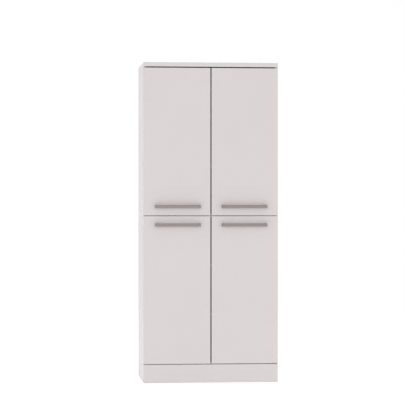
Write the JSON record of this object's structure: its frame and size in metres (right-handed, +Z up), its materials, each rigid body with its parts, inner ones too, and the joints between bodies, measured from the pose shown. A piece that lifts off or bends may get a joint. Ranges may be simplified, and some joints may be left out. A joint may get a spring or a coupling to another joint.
{
  "type": "pantry cabinet",
  "caption": "Tall free-standing storage cabinet with two rows of paired hinged doors, horizontal bow handles, adjustable shelves and a plinth.",
  "frame": {"origin": "on the floor, at the middle of the overall box, handles included", "axes": "+Z up, the doors face -Y, +X to the right seen from the front"},
  "size_m": [0.7, 0.4454, 1.66],
  "materials": {
    "white_board": "satin melamine on particle board",
    "door_board": "satin melamine on particle board",
    "back_board": "thin fibreboard, white lacquer inside and bare outside",
    "dowel_wood": "raw beech",
    "white_plastic": "moulded",
    "zinc_fittings": "die-cast zinc alloy, tumbled",
    "hinge_steel": "nickel plated",
    "plated_steel": "bright zinc plated",
    "handle_metal": "satin nickel look",
    "clear_rubber": "soft translucent"
  },
  "bodies": {
    "carcass": {"left_side_panel": "white_board", "right_side_panel": "white_board", "top_panel": "white_board", "bottom_panel": "white_board", "middle_shelf": "white_board", "plinth_board": "white_board", "rear_plinth_rail": "white_board", "upper_back_panel": "back_board", "lower_back_panel": "back_board", "back_joining_strip": "white_plastic", "back_panel_screws": "plated_steel", "shelf_pins": "plated_steel", "cam_housings": "zinc_fittings", "cam_bolts": "plated_steel", "wooden_dowels": "dowel_wood", "corner_blocks": "white_plastic", "corner_block_screws": "plated_steel", "floor_glides": "white_plastic", "wall_bracket": "plated_steel", "wall_bracket_screws": "plated_steel", "hinge_mounting_plates": "hinge_steel", "hinge_plate_screws": "plated_steel", "hinge_arms": "hinge_steel", "hinge_arm_screws": "plated_steel", "adjustable_shelf_1": "white_board", "adjustable_shelf_2": "white_board", "adjustable_shelf_3": "white_board", "adjustable_shelf_4": "white_board"},
    "upper_left_door": {"upper_left_door_panel": "door_board", "upper_left_handle": "handle_metal", "upper_left_handle_screws": "plated_steel", "upper_left_hinge_cups": "hinge_steel", "upper_left_hinge_pins": "hinge_steel", "upper_left_cup_screws": "plated_steel", "upper_left_bumpers": "clear_rubber"},
    "upper_right_door": {"upper_right_door_panel": "door_board", "upper_right_handle": "handle_metal", "upper_right_handle_screws": "plated_steel", "upper_right_hinge_cups": "hinge_steel", "upper_right_hinge_pins": "hinge_steel", "upper_right_cup_screws": "plated_steel", "upper_right_bumpers": "clear_rubber"},
    "lower_left_door": {"lower_left_door_panel": "door_board", "lower_left_handle": "handle_metal", "lower_left_handle_screws": "plated_steel", "lower_left_hinge_cups": "hinge_steel", "lower_left_hinge_pins": "hinge_steel", "lower_left_cup_screws": "plated_steel", "lower_left_bumpers": "clear_rubber"},
    "lower_right_door": {"lower_right_door_panel": "door_board", "lower_right_handle": "handle_metal", "lower_right_handle_screws": "plated_steel", "lower_right_hinge_cups": "hinge_steel", "lower_right_hinge_pins": "hinge_steel", "lower_right_cup_screws": "plated_steel", "lower_right_bumpers": "clear_rubber"}
  },
  "joints": [
    {"name": "upper_left_door_hinge", "type": "hinge", "parent": "carcass", "child": "upper_left_door", "pos_m": [-0.343, -0.18845, 1.24962], "axis": [0, 0, -1], "range_deg": [0, 95]},
    {"name": "upper_right_door_hinge", "type": "hinge", "parent": "carcass", "child": "upper_right_door", "pos_m": [0.343, -0.18845, 1.24962], "axis": [0, 0, 1], "range_deg": [0, 95]},
    {"name": "lower_left_door_hinge", "type": "hinge", "parent": "carcass", "child": "lower_left_door", "pos_m": [-0.343, -0.18845, 0.48137], "axis": [0, 0, -1], "range_deg": [0, 95]},
    {"name": "lower_right_door_hinge", "type": "hinge", "parent": "carcass", "child": "lower_right_door", "pos_m": [0.343, -0.18845, 0.48137], "axis": [0, 0, 1], "range_deg": [0, 95]}
  ]
}
